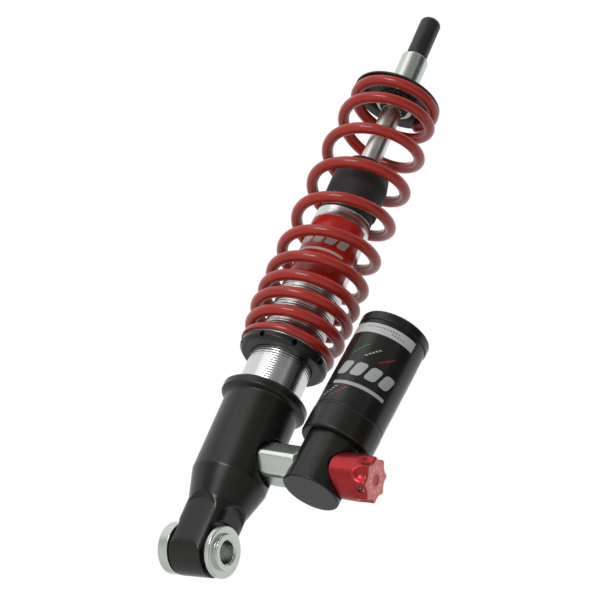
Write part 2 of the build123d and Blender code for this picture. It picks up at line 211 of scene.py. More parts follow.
# compression adjuster, with heights out from the reservoir's axis
knob_radius = 12.55
knob_bore = 3.06
knob_plug_depth = 1.6            # down from the face
knob_plug_recess = 0.4
knob_base = 9.2
knob_face = 32.3
knob_flutes = 8
flute_radius = 6.0
flute_length = 9.0
flute_depth = 2.0
grub_flute_angle = 245.0
grub_radius = 1.8
grub_depth = 3.4                 # down from the face
seat_pocket_radius = 4.5
seat_pocket = (-4.0, 2.6)
detent_radius = 8.2              # from the knob's axis
detent_hole_radius = 1.6
detent_hole_depth = 6.3

# prints on the labels
print_middle = -47.0             # degrees round the damper, the way the labels face
green_ink = (0.02, 0.2, 0.05)
white_ink = (0.4, 0.4, 0.4)
grey_ink = (0.16, 0.16, 0.16)
red_ink = (0.38, 0.02, 0.02)

# camera, in metres
camera_place = Vector((0.864599, -0.956169, -0.512654))
camera_aim = Vector((-0.003456, -0.003148, 0.159779))
camera_roll = 23.8535           # degrees
camera_lens = 157.48             # on a 36 mm sensor


# ---------------------------------------------------------------- places
def place(origin, x_direction, z_direction):
    """A matrix, in millimetres, whose Z axis is z_direction and whose X axis is nearest x_direction."""
    z = z_direction.normalized()
    x = (x_direction - z * x_direction.dot(z)).normalized()
    columns = Matrix((x, z.cross(x), z)).transposed()
    return Matrix.Translation(origin) @ columns.to_4x4()


up = Vector((0, 0, 1))
outward = Vector((cos(radians(reservoir_azimuth)), sin(radians(reservoir_azimuth)), 0))
sideways = Vector((-outward.y, outward.x, 0))
lean = (outward * sin(radians(lean_out)) + sideways * sin(radians(lean_side))
        + up * cos(radians(hypot(lean_out, lean_side))))
reservoir_origin = outward * reservoir_offset + up * connector_height
upright = Matrix.Identity(4)
cross = place(up * connector_height, sideways, outward)
cross_at_reservoir = place(reservoir_origin, sideways, outward)
standing = place(reservoir_origin, outward, lean)


# ---------------------------------------------------------------- outlines
def smoothstep(value, start, end):
    share = np.clip((value - start) / (end - start), 0.0, 1.0)
    return share * share * (3 - 2 * share)


def rounded(corners, steps=6):
    """An outline's points with its corners turned into arcs: (radius, height) or (radius, height, fillet)."""
    points = []
    for index, corner in enumerate(corners):
        here = Vector(corner[:2])
        if len(corner) == 2:
            points.append(tuple(here))
            continue
        back = Vector(corners[index - 1][:2]) - here
        ahead = Vector(corners[(index + 1) % len(corners)][:2]) - here
        half = acos(max(-1.0, min(1.0, back.normalized().dot(ahead.normalized())))) / 2
        reach = min(corner[2] / tan(half), 0.49 * back.length, 0.49 * ahead.length)
        fillet = reach * tan(half)
        centre = here + (back.normalized() + ahead.normalized()).normalized() * (fillet / sin(half))
        start = here + back.normalized() * reach - centre
        end = here + ahead.normalized() * reach - centre
        first = atan2(start.y, start.x)
        turn = (atan2(end.y, end.x) - first + pi) % (2 * pi) - pi
        for step in range(steps + 1):
            angle = first + turn * step / steps
            points.append((centre.x + fillet * cos(angle), centre.y + fillet * sin(angle)))
    return points


def divided(points, spacing, low, high):
    """The same outline with extra points on the stretches that lie between two heights."""
    result = []
    for start, end in zip(points, points[1:] + points[:1]):
        result.append(start)
        within = low <= min(start[1], end[1]) and max(start[1], end[1]) <= high
        count = int(hypot(end[0] - start[0], end[1] - start[1]) / spacing) if within else 0
        for step in range(1, count):
            share = step / count
            result.append((start[0] + (end[0] - start[0]) * share, start[1] + (end[1] - start[1]) * share))
    return result


# ---------------------------------------------------------------- pieces
def finish(name, vertices, faces, body, nodes, material, where=upright, normals=None):
    """Make a piece from points in millimetres, smooth it, and hang it on a body in place of CAD nodes."""
    mesh = bpy.data.meshes.new(name)
    mesh.from_pydata([tuple(point) for point in np.asarray(vertices, float) * MM], [], faces)
    if normals is None:
        work = bmesh.new()
        work.from_mesh(mesh)
        bmesh.ops.recalc_face_normals(work, faces=work.faces)
        work.to_mesh(mesh)
        work.free()
    mesh.polygons.foreach_set("use_smooth", [True] * len(mesh.polygons))
    piece = bpy.data.objects.new(name, mesh)
    bpy.context.scene.collection.objects.link(piece)
    if normals is None:
        weighted = piece.modifiers.new("flat_faces_stay_flat", "WEIGHTED_NORMAL")
        weighted.weight = 100
        weighted.keep_sharp = True
    else:
        mesh.normals_split_custom_set_from_vertices([tuple(normal) for normal in normals])
    piece.matrix_world = Matrix.Translation(where.translation * MM) @ where.to_3x3().to_4x4()
    mesh.materials.append(materials[material])
    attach(piece, body)
    if nodes:
        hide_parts(*nodes)
    return piece


def turned(name, outline, body, nodes, material, where=upright, segments=160, relief=None, arc=None):
    """A piece turned about its Z axis, all round or over an arc of (start, end) degrees. relief changes the
    radius by height and angle."""
    outline = np.array(outline)
    angles = np.arange(segments) * 2 * pi / segments
    if arc:
        angles = np.radians(np.linspace(*arc, segments))
    radius, angle = np.broadcast_arrays(outline[:, :1], angles)
    height = np.broadcast_to(outline[:, 1:], radius.shape)
    if relief:
        radius = relief(radius, height, angle)
    grid = np.stack([radius * np.cos(angle), radius * np.sin(angle), height], -1)
    vertices = []
    rings = []
    for ring, size in zip(grid, radius):
        count = 1 if size.max() < 1e-6 else segments
        rings.append([len(vertices) + step % count for step in range(segments)])
        vertices.extend(ring[:count])
    faces = []
    for lower, upper in zip(rings, rings[1:] + rings[:1]):
        for step in range(segments - 1 if arc else segments):
            following = (step + 1) % segments
            face = dict.fromkeys((lower[step], lower[following], upper[following], upper[step]))
            if len(face) > 2:
                faces.append(tuple(face))
    if arc:
        faces.append(tuple(ring[0] for ring in rings))
        faces.append(tuple(ring[-1] for ring in rings))
    return finish(name, vertices, faces, body, nodes, material, where)


# ---------------------------------------------------------------- solids given as signed distances
def meet(first, second, fillet):
    """What two solids share, with the edges where they meet rounded."""
    beyond = np.hypot(np.maximum(first + fillet, 0), np.maximum(second + fillet, 0))
    return np.minimum(-fillet, np.maximum(first, second)) + beyond


def carve(solid, tool, fillet):
    """A solid with a tool's shape cut out of it."""
    return meet(solid, -tool, fillet)


def about(points, where):
    """Radius and height of points about the Z axis of a place."""
    local = points @ np.array(where.inverted().to_3x3()).T + np.array(where.inverted().translation)
    return np.hypot(local[:, 0], local[:, 1]), local[:, 2]


def inside_outline(radius, height, corners):
    """Signed distance to a closed outline. A solid one's inner corners lie past the axis."""
    nearest = np.full(radius.shape, 1e9)
    inside = np.zeros(radius.shape, bool)
    for (r0, z0), (r1, z1) in zip(corners, corners[1:] + corners[:1]):
        run, rise = r1 - r0, z1 - z0
        share = np.clip(((radius - r0) * run + (height - z0) * rise) / (run * run + rise * rise), 0, 1)
        nearest = np.minimum(nearest, np.hypot(radius - r0 - share * run, height - z0 - share * rise))
        if abs(rise) > 1e-9:
            crossed = (height >= z0) != (height >= z1)
            inside ^= crossed & (radius < r0 + (height - z0) * run / rise)
    return np.where(inside, -nearest, nearest)


def slope(solid, points):
    """The direction in which a solid's distance grows, at each point."""
    reach = 0.02
    parts = []
    for axis in range(3):
        step = np.zeros(3)
        step[axis] = reach
        parts.append((solid(points + step) - solid(points - step)) / (2 * reach))
    return np.stack(parts, 1)


def contour(solid, low, high, cell):
    """Points, faces and normals of a solid's surface. Each cell of a grid that the surface crosses gets one
    point, and the points are evened out and moved onto the surface."""
    block = 4
    low = np.array(low, float) - 2.3 * cell
    blocks = np.ceil((np.array(high, float) + 2 * cell - low) / (block * cell)).astype(int)
    centres = (np.indices(blocks).reshape(3, -1).T + 0.5) * block * cell + low
    rough = solid(centres).reshape(blocks)
    near = np.abs(rough) < 1.3 * block * cell
    for axis in range(3):
        rough = rough.repeat(block, axis)
        near = near.repeat(block, axis)
    rough[near] = solid((np.argwhere(near) + 0.5) * cell + low)
    inside = rough < 0
    corners = sum(inside[i:i - 1 or None, j:j - 1 or None, k:k - 1 or None].astype(int)
                  for i in (0, 1) for j in (0, 1) for k in (0, 1))
    crossed = (corners > 0) & (corners < 8)
    number = np.full(crossed.shape, -1)
    number[crossed] = np.arange(crossed.sum())
    points = (np.argwhere(crossed) + 1.0) * cell + low
    faces = []
    for axis in range(3):
        first, second = [other for other in range(3) if other != axis]
        ends = np.moveaxis(inside, axis, 0)
        changed = np.moveaxis(ends[:-1] != ends[1:], 0, axis)
        edges = np.argwhere(changed)
        ring = []
        for back_first, back_second in ((0, 0), (1, 0), (1, 1), (0, 1)):
            beside = edges.copy()
            beside[:, first] -= back_first
            beside[:, second] -= back_second
            ring.append(number[tuple(beside.T)])
        faces.append(np.stack(ring, 1))
    faces = np.concatenate(faces)
    links = np.concatenate([faces[:, [0, 1]], faces[:, [1, 2]], faces[:, [2, 3]], faces[:, [3, 0]]])
    count = np.bincount(links.ravel(), minlength=len(points))[:, None]
    for even_out in (True, True, False, False):
        if even_out:
            total = np.zeros_like(points)
            np.add.at(total, links[:, 0], points[links[:, 1]])
            np.add.at(total, links[:, 1], points[links[:, 0]])
            points = (points + total / count) / 2
        rise = slope(solid, points)
        step = rise * (solid(points) / np.maximum((rise ** 2).sum(1), 0.2))[:, None]
        points -= np.clip(step, -cell, cell)
    normals = slope(solid, points)
    normals /= np.linalg.norm(normals, axis=1)[:, None]
    across = np.cross(points[faces[:, 2]] - points[faces[:, 0]], points[faces[:, 3]] - points[faces[:, 1]])
    backward = (across * normals[faces[:, 0]]).sum(1) < 0
    faces[backward] = faces[backward][:, ::-1]
    return points, faces.tolist(), normals


def carved(name, solid, low, high, cell, body, nodes, material, where=upright):
    """A piece whose shape is a signed distance, in the local frame of its place."""
    points, faces, normals = contour(solid, low, high, cell)
    return finish(name, points, faces, body, nodes, material, where, normals)


# ---------------------------------------------------------------- materials
class Finish:
    """A material under construction. Lengths in its textures are in metres, in the piece's own frame."""

    def __init__(self, name):
        self.material = bpy.data.materials.new(name)
        self.material.use_nodes = True
        self.tree = self.material.node_tree
        self.shader = self.tree.nodes["Principled BSDF"]
        self.place = self.node("ShaderNodeTexCoord").outputs["Object"]

    def node(self, kind, inputs=None, **settings):
        node = self.tree.nodes.new(kind)
        for key, value in settings.items():
            setattr(node, key, value)
        for key, value in (inputs or {}).items():
            self.feed(node.inputs[key], value)
        return node

    def feed(self, socket, value):
        if isinstance(value, bpy.types.NodeSocket):
            self.tree.links.new(value, socket)
        else:
            socket.default_value = value

    def set(self, **inputs):
        for key, value in inputs.items():
            if isinstance(value, tuple) and len(value) == 3:
                value = (*value, 1.0)
            self.feed(self.shader.inputs[key.replace("_", " ")], value)

    def math(self, operation, *values):
        node = self.node("ShaderNodeMath", operation=operation)
        for socket, value in zip(node.inputs, values):
            self.feed(socket, value)
        return node.outputs[0]

    def noise(self, size, detail=3.0, stretch=None, roughness=0.5):
        """Noise between 0 and 1 whose features are about size metres. stretch scales the axes."""
        where = self.place
        if stretch:
            where = self.node("ShaderNodeMapping", {"Vector": where, "Scale": stretch}).outputs[0]
        return self.node("ShaderNodeTexNoise", {"Vector": where, "Scale": 1 / size, "Detail": detail,
                                                "Roughness": roughness}).outputs[0]

    def spread(self, value, low, high, start=0.3, end=0.7):
        """A value remapped from start..end to low..high, held at both ends."""
        node = self.node("ShaderNodeMapRange", {"Value": value, "From Min": start, "From Max": end,
                                                "To Min": low, "To Max": high})
        return node.outputs[0]

    def blend(self, share, first, second):
        node = self.node("ShaderNodeMix", {0: share}, data_type="RGBA")
        for socket, value in ((node.inputs[6], first), (node.inputs[7], second)):
            self.feed(socket, (*value, 1.0) if isinstance(value, tuple) else value)
        return node.outputs[2]

    def unrolled(self, radius, middle):
        """Places on a label, in millimetres: round its cylinder from the middle angle, and up it."""
        axes = self.node("ShaderNodeSeparateXYZ", {"Vector": self.place}).outputs
        turn = self.math("SUBTRACT", self.math("ARCTAN2", axes[1], axes[0]), radians(middle))
        return self.math("MULTIPLY", turn, radius), self.math("DIVIDE", axes[2], MM)

    def bar(self, across, height, centre, size, slant=0.0):
        """1 inside a printed bar with round corners and 0 outside it. slant is its lean to the right."""
        rise = self.math("SUBTRACT", height, centre[1])
        from_centre = self.math("SUBTRACT", across, centre[0])
        slid = self.math("SUBTRACT", from_centre, self.math("MULTIPLY", rise, slant))
        corner = min(size) * 0.3
        squares = []
        for value, length in ((slid, size[0]), (rise, size[1])):
            beyond = self.math("SUBTRACT", self.math("ABSOLUTE", value), length / 2 - corner)
            squares.append(self.math("POWER", self.math("MAXIMUM", beyond, 0.0), 2.0))
        distance = self.math("SQRT", self.math("ADD", *squares))
        return self.spread(distance, 1.0, 0.0, corner - 0.07, corner + 0.07)

    def dashes(self, value, spacing):
        """1 and 0 by turns as a value in millimetres grows."""
        wave = self.math("SINE", self.math("MULTIPLY", value, 2 * pi / spacing))
        return self.spread(wave, 0.0, 1.0, -0.2, 0.2)

    def bump(self, height, depth, below=None):
        """A bump whose full height is depth metres."""
        inputs = {"Height": height, "Distance": depth, "Strength": 1.0}
        if below:
            inputs["Normal"] = below
        return self.node("ShaderNodeBump", inputs).outputs[0]


materials = {}


def surface(name, tones, roughness, metallic=0.0, mottle=0.02, grain=(0.0004, 0.0000012), rings=None,
            peel=None, scuffs=0.0, printed=None, **extra):
    """A general finish: two tones mottled together, uneven gloss, fine grain, and optional turning rings,
    orange peel and scuffs. rings is (spacing, depth) along the piece's Z axis. printed adds to the colour:
    print, and on the knob also a painted highlight."""
    look = Finish(name)
    cloud = look.noise(mottle, 4.0)
    colour = look.blend(look.spread(cloud, 0.0, 1.0), tones[0], tones[1])
    if printed:
        colour = printed(look, colour)
    gloss = look.spread(look.noise(mottle * 0.45, 5.0), roughness[0], roughness[1])
    normal = look.bump(look.noise(grain[0], 2.0), grain[1])
    if rings:
        lines = look.noise(rings[0], 2.0, stretch=(0.02, 0.02, 1.0))
        normal = look.bump(lines, rings[1], normal)
        gloss = look.math("ADD", gloss, look.spread(lines, -0.02, 0.02))
    if peel:
        normal = look.bump(look.noise(peel[0], 1.0), peel[1], normal)
    if scuffs:
        marks = look.noise(0.0011, 6.0, stretch=(1.0, 0.25, 0.5), roughness=0.7)
        worn = look.spread(marks, 0.0, scuffs, 0.62, 0.74)
        gloss = look.math("ADD", gloss, worn)
    look.set(Base_Color=colour, Roughness=gloss, Normal=normal, Metallic=metallic, **extra)
    materials[name] = look.material


def print_blocks(look, colour, across, height, middle, size, ink):
    """A row of four slanting blocks over a thin bar, as a plain emblem."""
    for step in range(4):
        centre = (middle[0] + (step - 1.5) * size[0] * 1.3, middle[1])
        colour = look.blend(look.bar(across, height, centre, size, 0.3), colour, ink)
    below = (middle[0], middle[1] - size[1] * 1.12)
    return look.blend(look.bar(across, height, below, (size[0] * 4.9, size[1] * 0.24)), colour, ink)


def print_body_label(look, colour):
    across, height = look.unrolled(tube_upper_radius, print_middle)
    return print_blocks(look, colour, across, height, (-6.0, 193.6), (5.6, 6.4), (0.42, 0.4, 0.36))


def print_reservoir_label(look, colour):
    across, height = look.unrolled(reservoir_radius, print_middle - reservoir_azimuth)
    colour = print_blocks(look, colour, across, height, (-4.5, 54.6), (6.6, 8.6), (0.34, 0.35, 0.36))
    for centre, ink in (((-14.0, 67.5), green_ink), ((-6.0, 66.5), white_ink), ((3.0, 65.5), red_ink),
                        ((-20.0, 39.0), white_ink), ((-14.0, 39.0), red_ink)):
        streak = look.bar(across, height, centre, (1.5, 7.0), 1.1)
        colour = look.blend(look.math("MULTIPLY", streak, look.dashes(height, 1.3)), colour, ink)
    return colour


def print_strip(look, colour):
    across, height = look.unrolled(reservoir_radius, print_middle - reservoir_azimuth)
    for centre, length in (((-7.0, 82.6), 20.0), ((2.0, 80.9), 9.0)):
        row = look.bar(across, height, centre, (length, 0.9))
        dots = look.math("MULTIPLY", row, look.dashes(across, 1.7))
        colour = look.blend(dots, colour, grey_ink)
    return colour


def knob_face_highlight_and_etched_marks(look, colour):
    """The knob's end is painted paler than its side, a painted highlight for the light that falls on it, with
    a ring of paler etched marks.
    """
    axes = look.node("ShaderNodeSeparateXYZ", {"Vector": look.place}).outputs
    turn = look.math("ARCTAN2", axes[1], axes[0])
    radius = look.math("SQRT", look.math("ADD", look.math("POWER", axes[0], 2.0),
                                         look.math("POWER", axes[1], 2.0)))
    radius = look.math("DIVIDE", radius, MM)
    # on_face covers the end face. The face is painted paler there as a painted highlight for the light
    # falling on it, and the etched marks are kept to it.
    on_face = look.spread(look.math("DIVIDE", axes[2], MM), 0.0, 1.0, knob_face - 0.5, knob_face - 0.1)
    colour = look.blend(on_face, colour, (0.6, 0.17, 0.15))
    in_ring = look.spread(look.math("ABSOLUTE", look.math("SUBTRACT", radius, 6.4)), 1.0, 0.0, 1.0, 1.3)
    marks = look.math("MULTIPLY", in_ring, look.dashes(turn, pi / 6))
    marks = look.math("MULTIPLY", look.math("MULTIPLY", marks, on_face), 0.6)
    return look.blend(marks, colour, (0.72, 0.4, 0.36))


surface("black_anodised", ((0.0078, 0.0071, 0.0058), (0.0115, 0.0105, 0.0088)), (0.25, 0.31),
        rings=(0.0006, 0.0000002), scuffs=0.015, Specular_IOR_Level=0.4)
surface("silver_tube", ((0.7, 0.7, 0.68), (0.75, 0.75, 0.73)), (0.2, 0.26), metallic=1.0, mottle=0.03,
        rings=(0.0003, 0.0000006))
surface("zinc_plate", ((0.61, 0.65, 0.605), (0.66, 0.69, 0.645)), (0.25, 0.3), metallic=1.0,
        grain=(0.0006, 0.0000002), rings=(0.0004, 0.0000001))
surface("hard_chrome", ((0.74, 0.71, 0.68), (0.8, 0.77, 0.74)), (0.24, 0.3), metallic=1.0,
        rings=(0.00015, 0.0000002))
surface("spring_red", ((0.31, 0.012, 0.006), (0.36, 0.017, 0.009)), (0.36, 0.44),
        peel=(0.0018, 0.000012), Specular_IOR_Level=0.3, Coat_Weight=0.6, Coat_Roughness=0.1, Coat_IOR=1.4)
surface("knob_red", ((0.33, 0.022, 0.026), (0.39, 0.03, 0.033)), (0.3, 0.37), metallic=0.8, mottle=0.01,
        rings=(0.0004, 0.000001), printed=knob_face_highlight_and_etched_marks)
surface("black_vinyl", ((0.008, 0.008, 0.007), (0.012, 0.012, 0.011)), (0.36, 0.44), peel=(0.0025, 0.00003))
surface("stop_rubber", ((0.01, 0.009, 0.0078), (0.015, 0.0135, 0.012)), (0.55, 0.68), grain=(0.0003, 0.00001))
surface("seal_rubber", ((0.01, 0.01, 0.01), (0.015, 0.015, 0.015)), (0.5, 0.62), grain=(0.0003, 0.00001))
surface("label_red", ((0.4, 0.012, 0.008), (0.44, 0.016, 0.01)), (0.2, 0.26), printed=print_body_label)
surface("label_dark", ((0.0095, 0.009, 0.0082), (0.013, 0.0122, 0.011)), (0.2, 0.26),
        Specular_IOR_Level=0.4, printed=print_reservoir_label)
surface("label_pale", ((0.42, 0.43, 0.42), (0.48, 0.49, 0.48)), (0.24, 0.32), printed=print_strip)
surface("bearing_bronze", ((0.45, 0.3, 0.14), (0.55, 0.38, 0.2)), (0.3, 0.42), metallic=1.0)
surface("ptfe_band", ((0.12, 0.09, 0.05), (0.16, 0.12, 0.07)), (0.4, 0.5))
surface("plain_steel", ((0.46, 0.46, 0.46), (0.52, 0.52, 0.51)), (0.22, 0.3), metallic=1.0,
        rings=(0.0003, 0.0000008))
surface("plain_aluminium", ((0.6, 0.6, 0.6), (0.68, 0.68, 0.67)), (0.25, 0.36), metallic=1.0,
        rings=(0.0003, 0.000001))
surface("valve_brass", ((0.5, 0.34, 0.12), (0.6, 0.42, 0.17)), (0.22, 0.34), metallic=1.0)

slots = {part["node"]: part["material_slot"] for part in frame["record"]["subparts"]}
for node, cad_object in frame["nodes"].items():
    cad_object.data.materials.clear()
    cad_object.data.materials.append(materials[slots[node]])


# ---------------------------------------------------------------- lower eye
eye_ends = zip(("near", "far"), (1, -1), eye_boss_faces, eye_flange_inner_faces)
for end, side, boss_face, flange_face in eye_ends:
    facing_out = place(Vector((0, 0, 0)), up, Vector((side, 0, 0)))
    seal_face = boss_face + dust_seal_thickness
    turned("bush_" + end, rounded([
        (eye_bolt_radius, 0.1), (eye_bush_outer, 0.1, 0.2), (eye_bush_outer, seal_face),
        (eye_hub_radius, seal_face), (eye_hub_radius, flange_face), (eye_flange_radius, flange_face, 0.5),
        (eye_flange_radius, eye_flange_outer_face, 0.7), (eye_hub_radius, eye_flange_outer_face, 0.3),
        (eye_hub_radius, eye_hub_face, 0.45), (eye_bolt_radius + 0.9, eye_hub_face, 0.12),
        (eye_bolt_radius, eye_hub_face - 0.9, 0.12)]),
        "eye_bushes", ["eye_bush_" + end], "zinc_plate", facing_out)
    seal_bore = eye_bush_outer + dust_seal_clearance
    turned("dust_seal_" + end, rounded([
        (seal_bore, boss_face), (dust_seal_radius, boss_face, 0.25),
        (dust_seal_radius, seal_face - 0.1, 0.25), (seal_bore, seal_face - 0.1)]),
        "eye_bushes", ["eye_dust_seals"], "seal_rubber", facing_out)


# ---------------------------------------------------------------- foot
foot_outline = rounded([
    (past_axis, -tongue_half_width - 5), (neck_radius, -tongue_half_width - 5),
    (neck_radius, tongue_top, 6.0),
    (foot_radius, taper_top, 3.0), (foot_radius, flange_bottom, 0.8), (flange_radius, flange_rim, 0.5),
    (flange_radius, foot_top - 1.8, 0.5), (flange_radius - 1.8, foot_top, 0.5), (past_axis, foot_top)])


def foot_solid(points):
    x, y, z = points.T
    solid = inside_outline(np.hypot(x, y), z, foot_outline)
    arch_centre = tongue_top - flat_cutter_radius
    for across, along, distance in ((np.abs(x), y, tongue_half_thickness), (np.abs(y), x, tongue_half_width)):
        arch = np.hypot(along, np.maximum(z - arch_centre, 0)) - flat_cutter_radius
        solid = carve(solid, meet(distance - across, arch, 1.2), 1.8)
    around_eye = np.hypot(y, z)
    solid = np.maximum(solid, np.where(z < 0, around_eye - tongue_half_width, -1e3))
    for along, boss_face in zip((x, -x), eye_boss_faces):
        solid = carve(solid, meet(around_eye - spot_face_radius, boss_face - along, 0.8), 0.9)
    solid = carve(solid, around_eye - eye_liner_outer, 0.4)
    solid = carve(solid, np.maximum(np.hypot(x, y) - tube_thread_radius, tube_bottom - z), 0.5)
    from_cross, along_cross = about(points, cross)
    solid = carve(solid, np.maximum(from_cross - foot_pocket_radius, foot_pocket - along_cross), 0.6)
    return carve(solid, np.maximum(from_cross - spigot_radius, 5.0 - along_cross), 0.3)


carved("foot_machined", foot_solid, (-flange_radius, -flange_radius, -tongue_half_width),
       (flange_radius, flange_radius, foot_top), 0.6, "damper_body", ["foot"], "black_anodised")


# ---------------------------------------------------------------- damper tube, seal head and bump stop
def thread(pitch, depth, low, high, least_radius):
    """Relief of a right-handed thread cut into whatever lies outside least_radius between two heights."""
    def relief(radius, height, angle):
        wave = 0.5 - 0.5 * np.cos(2 * pi * height / pitch - angle)
        fade = smoothstep(height, low, low + pitch) * (1 - smoothstep(height, high - pitch, high))
        return radius - depth * wave * fade * (radius > least_radius)
    return relief


tube_outline = divided(rounded([
    (tube_bore, tube_bottom), (tube_thread_radius, tube_bottom), (tube_thread_radius, foot_top),
    (tube_thread_radius, tube_thread_top - 1.2), (tube_upper_radius, tube_thread_top, 0.3),
    (tube_upper_radius, tube_top, 0.2), (tube_bore, tube_top)]),
    thread_step, foot_top - 1, tube_thread_top - 1)
turned("tube_turned", tube_outline, "damper_body", ["damper_tube"], "silver_tube",
       relief=thread(tube_thread_pitch, tube_thread_depth, foot_top + 0.5, tube_thread_top - 1.5,
                     tube_bore + 1))
turned("body_label_wrap", rounded([
    (tube_upper_radius, label_bottom), (tube_upper_radius + label_thickness, label_bottom, label_edge),
    (tube_upper_radius + label_thickness, label_top, label_edge), (tube_upper_radius, label_top)]),
    "damper_body", ["body_label"], "label_red", arc=label_arc)
turned("seal_head_turned", rounded([
    (head_bore, head_bottom), (tube_bore, head_bottom), (tube_bore, tube_top),
    (head_flange_radius, tube_top, 0.15), (head_flange_radius, head_top, 0.8), (wiper_outer, head_top, 0.2),
    (wiper_outer, head_top - wiper_depth), (rod_hole_radius, head_top - wiper_depth),
    (rod_hole_radius, guide_top), (guide_radius, guide_top), (guide_radius, guide_bottom),
    (head_bore, guide_bottom)]),
    "damper_body", ["seal_head"], "silver_tube")


def moulded(radius, height, angle):
    """A rubber moulding is never quite round."""
    oval = 0.0022 * np.sin(2 * angle + 0.06 * height)
    lobes = 0.0012 * np.sin(5 * angle - 0.11 * height)
    return radius * (1 + oval + lobes)


turned("bump_stop_moulded", divided(rounded([
    (bump_stop_bore, bump_stop_bottom), (14.6, bump_stop_bottom, 0.4),
    (bump_stop_lip_radius, bump_stop_bottom + 0.8, 0.4), (bump_stop_lip_radius, bump_stop_bottom + 4.2, 0.5),
    (14.4, bump_stop_bottom + 5.4, 0.7), (bump_stop_radius, bump_stop_bottom + 7.6, 1.5),
    (bump_stop_radius, bump_stop_top - 12.5, 6.0), (14.6, bump_stop_top - 4.5, 8.0),
    (11.6, bump_stop_top, 1.6), (bump_stop_bore, bump_stop_top, 0.6)]),
    1.5, bump_stop_bottom, bump_stop_top),
    "damper_body", ["bump_stop"], "stop_rubber", relief=moulded)


# ---------------------------------------------------------------- rod and top mount
rod_outline = divided(rounded([
    (0.0, stem_bottom), (stem_radius, stem_bottom, 0.6), (stem_radius, rod_shoulder),
    (rod_radius, rod_shoulder, 0.2), (rod_radius, stud_shoulder, 0.3), (stud_radius, stud_shoulder),
    (stud_radius, stud_thread_bottom), (stud_radius, stud_top - 1.0), (stud_radius - 1.0, stud_top),
    (0.0, stud_top)]), thread_step, stud_thread_bottom, stud_top - 0.9)
turned("rod_ground", rod_outline, "rod_assembly", ["piston_rod"], "hard_chrome", segments=96,
       relief=thread(stud_thread_pitch, stud_thread_depth, stud_thread_bottom + 0.1, stud_top,
                     rod_radius - 1.5))
turned("bump_pad_moulded", rounded([
    (rod_radius, pad_bottom), (pad_radius, pad_bottom, 0.5), (pad_radius, stud_shoulder, 0.2),
    (rod_radius, stud_shoulder)]), "rod_assembly", ["bump_pad"], "stop_rubber")
turned("centring_ring_turned", rounded([
    (stud_radius, stud_shoulder), (centring_radius, stud_shoulder, 0.5), (centring_radius, plate_bottom, 0.3),
    (stud_radius, plate_bottom)]), "rod_assembly", ["centring_ring"], "zinc_plate")
turned("spring_plate_turned", rounded([
    (stud_radius, plate_bottom), (plate_radius, plate_bottom, 0.5), (plate_radius, plate_top, 0.5),
    (stud_radius, plate_top)]), "rod_assembly", ["spring_plate"], "black_anodised", segments=192)
turned("stud_sleeve_turned", rounded([
    (stud_radius, plate_top), (sleeve_radius, plate_top, 0.3), (sleeve_radius, sleeve_top, 0.7),
    (stud_radius, sleeve_top, 0.3)]), "rod_assembly", ["stud_sleeve"], "zinc_plate", segments=128)
turned("thread_cap_dipped", divided(rounded([
    (cap_inner, cap_bottom, 0.4), (cap_outer, cap_bottom, 0.5), (cap_outer, cap_top, 3.8), (0.0, cap_top),
    (0.0, stud_top + 0.5), (cap_inner, stud_top + 0.5, 0.8)]), 2.0, cap_bottom, cap_top),
    "stud_cap", ["thread_cap"], "black_vinyl", segments=96)


# ---------------------------------------------------------------- spring and preload
def spring_wire(steps_per_turn, sides):
    """Points and faces of the wire, a tube swept along the coils, before its ends are ground."""
    steps = round(spring_turns * steps_per_turn)
    turn = np.arange(steps + 1) / steps_per_turn
    middle = (turn[1:] + turn[:-1]) / 2
    pitch = (close_pitch * smoothstep(middle, *lower_opening)
             + (wide_pitch - close_pitch) * smoothstep(middle, *widening)
             - (wide_pitch - last_pitch) * smoothstep(middle, *upper_closing))
    climb = np.concatenate([[0.0], np.cumsum(pitch)])
    bottom = washer_top + wire_radius - lower_grind
    top = plate_bottom - wire_radius + upper_grind
    height = bottom + (top - bottom) * climb / climb[-1]
    swell = smoothstep(turn, *lower_swell) * (1 - smoothstep(turn, *upper_swell))
    radius = spring_end_outer - wire_radius + (spring_outer - spring_end_outer) * swell
    angle = np.radians(spring_azimuth) + 2 * pi * turn
    centre = np.stack([radius * np.cos(angle), radius * np.sin(angle), height], 1)
    forward = np.gradient(centre, axis=0)
    forward /= np.linalg.norm(forward, axis=1)[:, None]
    away = np.stack([np.cos(angle), np.sin(angle), np.zeros_like(angle)], 1)
    over = np.cross(forward, away)
    over /= np.linalg.norm(over, axis=1)[:, None]
    away = np.cross(over, forward)
    side = np.arange(sides) * 2 * pi / sides
    points = (centre[:, None] + wire_radius * (np.cos(side)[None, :, None] * away[:, None]
                                               + np.sin(side)[None, :, None] * over[:, None])).reshape(-1, 3)
    faces = [(row * sides + column, row * sides + (column + 1) % sides,
              (row + 1) * sides + (column + 1) % sides, (row + 1) * sides + column)
             for row in range(steps) for column in range(sides)]
    faces.append(tuple(range(sides)))
    faces.append(tuple(range(steps * sides, (steps + 1) * sides)))
    return points, faces


def grind(mesh, height, direction):
    """Cut a closed mesh off flat, with a crisp edge, above a height (direction 1) or below it (-1)."""
    work = bmesh.new()
    work.from_mesh(mesh)
    bmesh.ops.bisect_plane(work, geom=work.verts[:] + work.edges[:] + work.faces[:], dist=1e-7,
                           plane_co=(0, 0, height * MM), plane_no=(0, 0, direction), clear_outer=True)
    rim = [edge for edge in work.edges if edge.is_boundary]
    bmesh.ops.holes_fill(work, edges=rim, sides=0)
    for edge in rim:
        edge.smooth = False
    work.to_mesh(mesh)
    work.free()


wire_points, wire_faces = spring_wire(72, 32)
spring = finish("spring_coiled", wire_points, wire_faces, "spring_seat", ["main_spring"], "spring_red")
grind(spring.data, washer_top, -1)
grind(spring.data, plate_bottom - spring_gap, 1)
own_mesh(spring)

